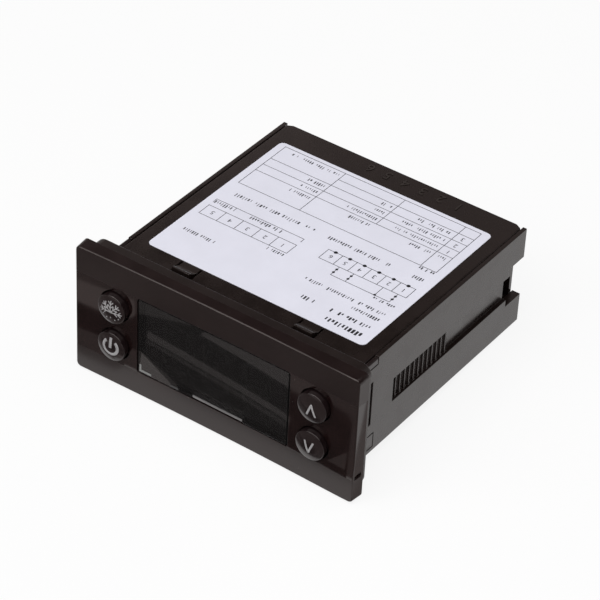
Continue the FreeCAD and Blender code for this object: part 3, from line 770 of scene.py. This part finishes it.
def word_tree():
    """Row of small upright bars of several sizes on one foot line, with gaps, for a line of print."""
    tree, entry = start_tree("print_line", Float="Width Height Thickness Weight", Int="Seed")
    pitch_share, gap_share, next_seed, true_out = 0.52, 0.18, 100.0, 3
    count = (entry["Width"] / (entry["Height"] * pitch_share)).operate("ROUND")
    step = entry["Width"] / count
    line = row(tree, count, step, start=step * 0.5)
    inputs = {"Probability": gap_share, "Seed": entry["Seed"]}
    gap = made(tree, "FunctionNodeRandomValue", inputs, output=true_out, data_type="BOOLEAN")
    line = line.into("GeometryNodeDeleteGeometry", {"Selection": gap})
    width = random_share(tree, 0.5, 1.5, entry["Seed"]) * (step * entry["Weight"])
    height = random_share(tree, 0.45, 1.0, entry["Seed"] + next_seed) * entry["Height"]
    drop = (height - entry["Height"]) * 0.5
    line = line.into("GeometryNodeSetPosition", {"Offset": vector(tree, 0.0, drop, 0.0)})
    bar = made(tree, "GeometryNodeMeshCube", {"Size": (1.0, 1.0, 1.0)})
    bars = copies(line, bar, Scale=vector(tree, width, height, entry["Thickness"]))
    return end_tree(tree, entry, bars)


def box_row_tree():
    """Row of ruled boxes that share their sides."""
    tree, entry = start_tree("box_row", Int="Count", Float="Pitch Height Thickness Line")
    height, thickness, line = entry["Height"], entry["Thickness"], entry["Line"]
    bar = made(tree, "GeometryNodeMeshCube", {"Size": vector(tree, line, height, thickness)})
    bars = copies(row(tree, entry["Count"] + 1.0, entry["Pitch"]), bar)
    levels = made(tree, "GeometryNodeMeshLine", {
        "Count": 2,
        "Start Location": vector(tree, 0.0, height * -0.5, 0.0),
        "Offset": vector(tree, 0.0, height, 0.0),
    })
    reach = entry["Pitch"] * entry["Count"]
    rail = made(tree, "GeometryNodeMeshCube", {"Size": vector(tree, reach + line, line, thickness)})
    rail = rail.into("GeometryNodeTransform", {"Translation": vector(tree, reach * 0.5, 0.0, 0.0)})
    joined = add_node(tree, "GeometryNodeJoinGeometry")
    for part in (bars, copies(levels, rail)):
        set_inputs(joined, {"Geometry": part})
    return end_tree(tree, entry, outputs(joined)["Geometry"])


def dot_row_tree():
    """Row of small round dots."""
    tree, entry = start_tree("dot_row", Int="Count", Float="Pitch Radius Thickness")
    inputs = {"Vertices": 12, "Radius": entry["Radius"], "Depth": entry["Thickness"]}
    dot = made(tree, "GeometryNodeMeshCylinder", inputs)
    return end_tree(tree, entry, copies(row(tree, entry["Count"], entry["Pitch"]), dot))


def symbol_tree():
    """Ribbon along the lines of a symbol, repeated as a fan, laid on the dome of a button."""
    tree, entry = start_tree(
        "dome_symbol", Float="Width Rise Depth Step Dome Spread", Int="Copies", Vector="Hub Apex"
    )
    share = made(tree, "GeometryNodeInputIndex") / (entry["Copies"] - 1.0).operate("MAXIMUM", 1.0)
    several = entry["Copies"].operate("GREATER_THAN", 1.0)
    turn = vector(tree, 0.0, 0.0, (share - 0.5) * entry["Spread"] * several)
    fan = copies(row(tree, entry["Copies"], 0.0), entry["Geometry"], Rotation=turn)
    fan = fan.into("GeometryNodeRealizeInstances")
    fan = fan.into("GeometryNodeResampleCurve", {"Length": entry["Step"]}, mode="LENGTH")
    fan = fan.into("GeometryNodeSetCurveNormal", mode="Z_UP")
    section = {"Width": entry["Width"], "Height": entry["Rise"] + entry["Depth"]}
    profile = made(tree, "GeometryNodeCurvePrimitiveQuadrilateral", section)
    ribbon = fan.into("GeometryNodeCurveToMesh", {"Profile Curve": profile, "Fill Caps": True})
    spot = split(made(tree, "GeometryNodeInputPosition"))
    hub = split(entry["Hub"])
    across = spot["X"] + hub["X"]
    up = spot["Y"] + hub["Y"]
    root = (entry["Dome"] ** 2.0 - (across ** 2.0 + up ** 2.0)).operate("SQRT")
    lift = (entry["Rise"] - entry["Depth"]) * 0.5
    back = entry["Dome"] - root - (spot["Z"] + lift)
    spot = vector(tree, across, back, up)
    place = spot.into("ShaderNodeVectorMath", {1: entry["Apex"]}, operation="ADD")
    laid = ribbon.into("GeometryNodeSetPosition", {"Position": place})
    return end_tree(tree, entry, laid)


# Pieces

class CONTROLLER_OT_front(bpy.types.Operator):
    """Bezel with rounded edges, a satin frame and a polished band, and the seal behind it"""

    bl_idname = "controller.front"
    bl_label = "Front"

    def execute(self, context):
        sizes = context.scene.controller_sizes
        dress("front_bezel", "bezel", "bezel_black", sizes.bezel_round, segments=3, hollow=True)
        dress("panel_gasket", "seal", "seal_rubber", sizes.body_round)
        return {"FINISHED"}


class CONTROLLER_OT_display(bpy.types.Operator):
    """Smoked window, its corner mark and light bar, and the digit display behind it"""

    bl_idname = "controller.display"
    bl_label = "Window and Display"

    def execute(self, context):
        sizes = context.scene.controller_sizes
        dress("display_window", "window", "window_smoke", sizes.window_round, hollow=True)
        paint_nodes("display_grey", "display_block")
        paint_nodes("segment_pale", "digit_segments")
        paint_nodes("light_guide", "light_bar")
        show("corner_mark", self.corner_mark(sizes), "mark_ink")
        return {"FINISHED"}

    def corner_mark(self, sizes):
        """Angle in the window's lower left corner, let into its hollow front."""
        low = window_view()[0]
        left = low.x + sizes.mark_side
        foot = low.z + sizes.mark_foot
        front = low.y + (low.x ** 2 - left ** 2) / (2 * front_radius()) - sizes.symbol_rise
        arm, upright, line = sizes.mark_arm, sizes.mark_upright, sizes.mark_width
        outline = ((0, 0), (arm, 0), (arm, line), (line, line), (line, upright), (0, upright))
        bm = bmesh.new()
        add_plate(bm, [(left + x, foot + z) for x, z in outline], front, front + sizes.mark_depth)
        return to_mesh("corner_mark", bm)


class CONTROLLER_OT_buttons(bpy.types.Operator):
    """Four domed buttons with their symbols, and the switches behind them"""

    bl_idname = "controller.buttons"
    bl_label = "Buttons"

    def execute(self, context):
        sizes = context.scene.controller_sizes
        tree = symbol_tree()
        symbols = self.symbols(sizes)
        for key in KEYS:
            apex, dome = self.cap(sizes, key)
            meshes = []
            for lines, width, count, hub in symbols[key]:
                values = {"Width": width, "Copies": count, "Hub": (hub[0] * MM, hub[1] * MM, 0.0)}
                values.update({"Apex": apex, "Dome": dome, "Rise": sizes.symbol_rise})
                meshes.append(self.symbol(tree, lines, values))
            name = key + "_symbol"
            show(name, gathered(name, meshes), "symbol_ink", key + "_key")
            paint_nodes("switch_black", key + "_plunger")
        paint_nodes("switch_black", "key_switches")
        return {"FINISHED"}

    def cap(self, sizes, key):
        """Turned cap, retaining bar and stem of one button; returns its apex and its dome's radius."""
        node = key + "_button"
        low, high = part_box(node)
        centre = (low + high) / 2
        radius = (high.z - low.z) / 2
        spots = [v.co for v in NODES[node].data.vertices]
        past_cap = (radius + (high.x - low.x) / 2) / 2
        bar = [spot for spot in spots if abs(spot.x - centre.x) > past_cap]
        front, back = min(spot.y for spot in bar), max(spot.y for spot in bar)
        foot, head = min(spot.z for spot in bar), max(spot.z for spot in bar)
        stem = max(spot.x - centre.x for spot in spots if spot.y > back + MERGE_DISTANCE)
        apex = Vector((centre.x, low.y + sizes.symbol_rise, centre.z))
        profile, dome = cap_profile(radius, apex.y, front, sizes.button_dome, sizes.button_rim)
        bm = bmesh.new()
        for face in add_turned(bm, profile, centre.x, centre.z):
            face.smooth = True
        add_box(bm, (low.x, front, foot), (high.x, back, head))
        stem_profile = [(0, back), (stem, back), (stem, high.y), (0, high.y)]
        add_turned(bm, stem_profile, centre.x, centre.z, steps=32)
        mesh = to_mesh(node + "_cap", bm)
        mesh.set_sharp_from_angle(angle=CORNER_ANGLE)
        show(node + "_cap", mesh, "button_black", key + "_key", [node])
        return apex, dome

    def symbols(self, sizes):
        """Lines, line width, copies and hub of what each button shows."""
        steps = 40
        ring = []
        for step in range(steps + 1):
            a = math.pi / 2 + POWER_GAP + (2 * math.pi - 2 * POWER_GAP) * step / steps
            ring.append((POWER_RADIUS * math.cos(a), POWER_RADIUS * math.sin(a)))
        arm = [FLAKE_ARM]
        for up, out in FLAKE_BARBS:
            arm.append(((-out, up + out), (0.0, up), (out, up + out)))
        drops = [((x, z), (x, z - DROP_LENGTH)) for x, z in DROPS]
        fallen = tuple((x, -z) for x, z in CHEVRON)
        return {
            "defrost": [
                (arm, sizes.flake_width, FLAKE_ARMS, FLAKE_HUB),
                (drops, sizes.flake_width, 1, DROPS_HUB),
            ],
            "power": [([ring, POWER_BAR], sizes.power_width, 1, POWER_HUB)],
            "up": [([CHEVRON], sizes.symbol_width, 1, UP_HUB)],
            "down": [([fallen], sizes.symbol_width, 1, DOWN_HUB)],
        }

    def symbol(self, tree, lines, values):
        """Mesh of one set of lines, laid on the dome."""
        curve = bpy.data.curves.new("symbol_lines", "CURVE")
        curve.dimensions = "3D"
        for line in lines:
            spline = curve.splines.new("POLY")
            spline.points.add(len(line) - 1)
            for point, (x, z) in zip(spline.points, line):
                point.co = (x * MM, z * MM, 0.0, 1.0)
        return grown("symbol", tree, curve, {
            **values,
            "Depth": 2 * values["Rise"],
            "Step": SYMBOL_STEP * MM,
            "Spread": FLAKE_SPREAD,
            "Material": finish("symbol_ink"),
        })


class CONTROLLER_OT_body(bpy.types.Operator):
    """Housing, cover and rear panel with rounded moulded edges, and the cover's raised numerals"""

    bl_idname = "controller.body"
    bl_label = "Body"

    def execute(self, context):
        sizes = context.scene.controller_sizes
        for node in ("housing", "top_cover", "rear_panel"):
            dress(node, node + "_moulding", "body_black", sizes.body_round)
        count = 6
        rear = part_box("top_cover")[1].y
        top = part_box("housing")[1].z
        socket_low, socket_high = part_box("mains_socket")
        middle = (socket_low.x + socket_high.x) / 2
        meshes = []
        for index in range(count):
            mesh = text_mesh(str(count - index), sizes.numeral_height, sizes.numeral_rise * 2)
            x = middle + (index - (count - 1) / 2) * sizes.numeral_pitch
            mesh.transform(Matrix.Translation((x, rear - sizes.numeral_inset, top)) @ HALF_TURN)
            meshes.append(mesh)
        # The numerals take the lighter colour of the painted highlight
        show("cover_numerals", gathered("cover_numerals", meshes), "worn_black")
        return {"FINISHED"}


class CONTROLLER_OT_label(bpy.types.Operator):
    """Label film with its ruled boxes, plain numbers and lines of print"""

    bl_idname = "controller.label"
    bl_label = "Label"

    def execute(self, context):
        sizes = context.scene.controller_sizes
        self.low, self.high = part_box("rating_label")
        self.rise = sizes.print_rise
        self.line = sizes.rule_width
        paint_nodes("label_white", "rating_label")
        meshes = [*self.words(), *self.boxes(), *self.dots(), self.rules(), *self.numbers()]
        show("label_print", gathered("label_print", meshes), "label_ink")
        return {"FINISHED"}

    def placed(self, mesh, left, top):
        """Mesh moved from its own XY plane to its place on the label."""
        corner = Matrix.Translation((self.high.x - left * MM, self.low.y + top * MM, self.high.z))
        mesh.transform(corner @ HALF_TURN)
        return mesh

    def grow(self, tree, left, top, **values):
        """Mesh from one of the label's trees, in its place."""
        source = bpy.data.meshes.new("print_source")
        values = {**values, "Thickness": self.rise, "Material": finish("label_ink")}
        return self.placed(grown("print", tree, source, values), left, top)

    def words(self):
        """Lines of print."""
        tree = word_tree()
        for weight, lines in ((BOLD_WEIGHT, BOLD_WORDS), (PLAIN_WEIGHT, PLAIN_WORDS)):
            for seed, (left, top, width, height) in enumerate(lines):
                values = {"Width": width * MM, "Height": height * MM, "Weight": weight, "Seed": seed}
                yield self.grow(tree, left, top + height / 2, **values)

    def boxes(self):
        """Rows of ruled boxes."""
        tree = box_row_tree()
        for count, pitch, height, left, top in BOX_ROWS:
            values = {"Count": count, "Pitch": pitch * MM, "Height": height * MM, "Line": self.line}
            yield self.grow(tree, left, top + height / 2, **values)

    def dots(self):
        """Dots along the foot of the first row of boxes, and on the ruled lines above it."""
        tree = dot_row_tree()
        count, pitch, height, left, top = BOX_ROWS[0]
        values = {"Count": count, "Pitch": pitch * MM, "Radius": ROW_DOT_RADIUS * MM}
        yield self.grow(tree, left + pitch / 2, top + height, **values)
        for spot in DOTS:
            yield self.grow(tree, *spot, Count=1, Pitch=0.0, Radius=DOT_RADIUS * MM)

    def rules(self):
        """Ruled lines, as thin closed bars; the level ones reach round the ends of the upright ones."""
        bm = bmesh.new()
        half, thick = self.line / 2, self.rise / 2
        for left, top, width in LEVEL_RULES:
            x, y = left * MM, -top * MM
            add_box(bm, (x - half, y - half, -thick), (x + width * MM + half, y + half, thick))
        for left, top, height in UPRIGHT_RULES:
            x, y = left * MM, -top * MM
            add_box(bm, (x - half, y - height * MM, -thick), (x + half, y, thick))
        return self.placed(to_mesh("rules", bm), 0.0, 0.0)

    def numbers(self):
        """Plain numbers of the boxes and of the table's rows."""
        groups = [ROW_NUMBERS]
        for count, pitch, height, left, top in BOX_ROWS:
            groups.append([(left + pitch * (index + 0.5), top + height / 2) for index in range(count)])
        for group in groups:
            for number, spot in enumerate(group, 1):
                yield self.placed(text_mesh(str(number), NUMBER_HEIGHT * MM, self.rise), *spot)


class CONTROLLER_OT_sockets(bpy.types.Operator):
    """Plug sockets at the rear, the strip that links the boards, and all pins"""

    bl_idname = "controller.sockets"
    bl_label = "Sockets"

    def execute(self, context):
        for node in ("mains_socket", "sensor_socket"):
            dress(node, node + "_moulding", "socket_black", context.scene.controller_sizes.body_round)
        paint_nodes("pin_metal", "mains_pins", "sensor_pins", "link_pins")
        paint_nodes("socket_black", "link_strip")
        return {"FINISHED"}


class CONTROLLER_OT_boards(bpy.types.Operator):
    """Circuit boards and the components on them"""

    bl_idname = "controller.boards"
    bl_label = "Boards and Components"

    def execute(self, context):
        paint_nodes("board_green", "display_board", "main_board")
        paint_nodes("component_black", "relay", "fuse", "buzzer", "control_chip")
        paint_nodes("ferrite_grey", "transformer_core")
        paint_nodes("coil_tape", "transformer_coil")
        paint_nodes("film_block", "film_capacitor")
        paint_nodes("can_sleeve", "bulk_capacitor", "output_capacitor")
        paint_nodes("disc_blue", "varistor")
        return {"FINISHED"}


class CONTROLLER_OT_stage(bpy.types.Operator):
    """Floor, cards, surroundings, lamps and camera"""

    bl_idname = "controller.stage"
    bl_label = "Stage"

    def execute(self, context):
        stage = context.scene.controller_stage
        context.scene.view_settings.view_transform = "Standard"
        self.floor(stage)
        for name, lift, glow, outline in CARDS:
            self.card(name, lift * MM, glow, outline)
        self.surroundings(context, stage)
        for name, place, size in LAMPS:
            self.lamp(stage, name, Vector(place), size)
        self.camera(context, stage)
        return {"FINISHED"}

    def floor_level(self, y):
        """Height of the floor, on which the bezel's lower edge and the body's rear edge rest."""
        bezel_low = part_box("front_bezel")[0]
        body_low, body_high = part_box("housing")
        slope = (body_low.z - bezel_low.z) / (body_high.y - body_low.y)
        return bezel_low.z + slope * (y - body_low.y)

    def sheet(self, name, outline, lift, material):
        """Flat piece of the stage, given in plan and laid on the floor or a little above it."""
        bm = bmesh.new()
        bm.faces.new([bm.verts.new((x, y, self.floor_level(y) + lift)) for x, y in outline])
        mesh = to_mesh(name, bm)
        mesh.materials.append(material)
        piece = new_object(name, mesh)
        return piece

    def card(self, name, lift, glow, outline):
        """Card near the controller, which only its polished faces show."""
        material, tree = bare_material(name)
        light = made(tree, "ShaderNodeEmission", {"Color": CARD_COLOUR, "Strength": glow})
        set_inputs(tree.nodes["Material Output"], {"Surface": light})
        material.cycles.emission_sampling = "NONE"
        piece = self.sheet(name, [(x * MM, y * MM) for x, y in outline], lift, material)
        for ray in ("camera", "diffuse", "transmission", "shadow"):
            setattr(piece, "visible_" + ray, False)

    def floor(self, stage):
        """Pale floor, which keeps a part of the shadow."""
        reach = 4.0
        pale = (0.9, 0.9, 0.9, 1.0)
        material, tree = bare_material("floor_white")
        material.cycles.emission_sampling = "NONE"
        shader = tree.nodes["Principled BSDF"]
        set_inputs(shader, {"Base Color": pale, "Roughness": 0.9, "Specular IOR Level": 0.0})
        path = outputs(add_node(tree, "ShaderNodeLightPath"))
        seen = path["Is Camera Ray"].operate("MAXIMUM", path["Is Glossy Ray"])
        seen = seen.operate("MAXIMUM", path["Is Transmission Ray"])
        glow = made(tree, "ShaderNodeEmission", {"Color": WHITE, "Strength": 1.0})
        inputs = {0: seen * (1.0 - stage.floor_shadow), 1: Output(shader.outputs[0]), 2: glow}
        mixed = made(tree, "ShaderNodeMixShader", inputs)
        set_inputs(tree.nodes["Material Output"], {"Surface": mixed})
        corners = ((-reach, -reach), (reach, -reach), (reach, reach), (-reach, reach))
        self.sheet("floor", corners, 0.0, material)

    def surroundings(self, context, stage):
        """Plain dim surroundings."""
        world = bpy.data.worlds.new("studio")
        world.use_nodes = True
        inputs = {"Color": (1.0, 0.93, 0.90, 1.0), "Strength": stage.world}
        set_inputs(world.node_tree.nodes["Background"], inputs)
        context.scene.world = world

    def lamp(self, stage, name, place, size):
        """Square soft lamp turned to the controller."""
        light = bpy.data.lights.new(name + "_lamp", "AREA")
        light.shape = "SQUARE"
        light.size = size
        light.energy = getattr(stage, name + "_power")
        lamp = new_object(name + "_lamp", light)
        lamp.location = place
        aim = Vector(stage.target) - place
        lamp.rotation_euler = aim.to_track_quat("-Z", "Y").to_euler()
        lamp.visible_camera = False

    def camera(self, context, stage):
        """Camera on its target, turned about its line of sight."""
        a, e = stage.azimuth, stage.elevation
        back = Vector((math.sin(a) * math.cos(e), -math.cos(a) * math.cos(e), math.sin(e)))
        turn = (-back).to_track_quat("-Z", "Y").to_matrix() @ Matrix.Rotation(stage.roll, 3, "Z")
        place = Vector(stage.target) + back * stage.distance
        data = bpy.data.cameras.new("camera")
        data.lens = stage.lens
        data.sensor_width = stage.sensor
        camera = new_object("camera", data)
        camera.matrix_world = Matrix.Translation(place) @ turn.to_4x4()
        context.scene.camera = camera


class CONTROLLER_PT_pieces(bpy.types.Panel):
    """Lists what dresses the controller"""

    bl_idname = "CONTROLLER_PT_pieces"
    bl_label = "Temperature Controller"
    bl_space_type = "VIEW_3D"
    bl_region_type = "UI"
    bl_category = "Controller"

    def draw(self, context):
        for operator in OPERATORS:
            self.layout.operator(operator.bl_idname)


GROUPS = {
    "controller_sizes": ControllerSizes,
    "controller_colours": ControllerColours,
    "controller_stage": ControllerStage,
}
OPERATORS = (
    CONTROLLER_OT_front, CONTROLLER_OT_display, CONTROLLER_OT_buttons, CONTROLLER_OT_body,
    CONTROLLER_OT_label, CONTROLLER_OT_sockets, CONTROLLER_OT_boards, CONTROLLER_OT_stage,
)


def register():
    """Registers the classes and hangs the property groups on the scene."""
    for name, group in GROUPS.items():
        bpy.utils.register_class(group)
        setattr(bpy.types.Scene, name, PointerProperty(type=group))
    for kind in (*OPERATORS, CONTROLLER_PT_pieces):
        bpy.utils.register_class(kind)


def unregister():
    """Takes back what register did."""
    for kind in (CONTROLLER_PT_pieces, *reversed(OPERATORS)):
        bpy.utils.unregister_class(kind)
    for name, group in reversed(GROUPS.items()):
        delattr(bpy.types.Scene, name)
        bpy.utils.unregister_class(group)


def main():
    """Registers the classes and dresses the controller."""
    register()
    for operator in OPERATORS:
        space, name = operator.bl_idname.split(".")
        getattr(getattr(bpy.ops, space), name)()


if __name__ == "__main__":
    main()
